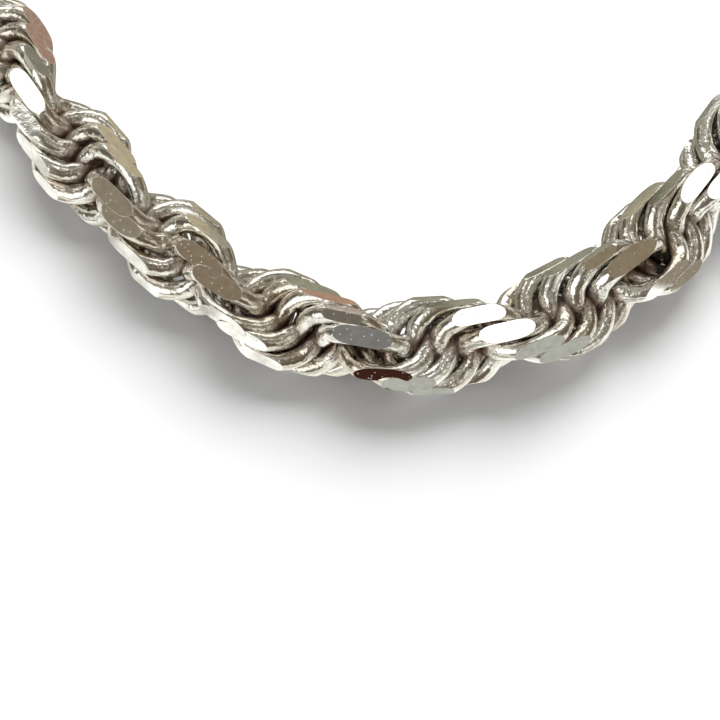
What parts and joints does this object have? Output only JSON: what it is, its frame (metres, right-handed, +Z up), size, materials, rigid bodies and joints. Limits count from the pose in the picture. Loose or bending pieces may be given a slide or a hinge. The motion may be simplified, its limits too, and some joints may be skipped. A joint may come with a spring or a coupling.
{
  "type": "rope chain necklace",
  "caption": "Diamond-cut rope chain necklace of white metal, laid flat as a closed loop, with end caps, jump rings and a plain claw clasp.",
  "frame": {"origin": "middle of the laid loop, on the surface it lies on", "axes": "+Y from the front bend to the clasp, +X across the loop, +Z up from the surface"},
  "size_m": [0.1232, 0.2, 0.0062],
  "materials": {
    "rope_metal": "polished silver with flat mirror facets",
    "fitting_metal": "polished silver"
  },
  "bodies": {
    "root": {"rope_chain": "rope_metal", "end_cap_left": "fitting_metal", "end_cap_right": "fitting_metal", "jump_ring_left": "fitting_metal", "jump_ring_right": "fitting_metal", "clasp": "fitting_metal"}
  },
  "joints": []
}
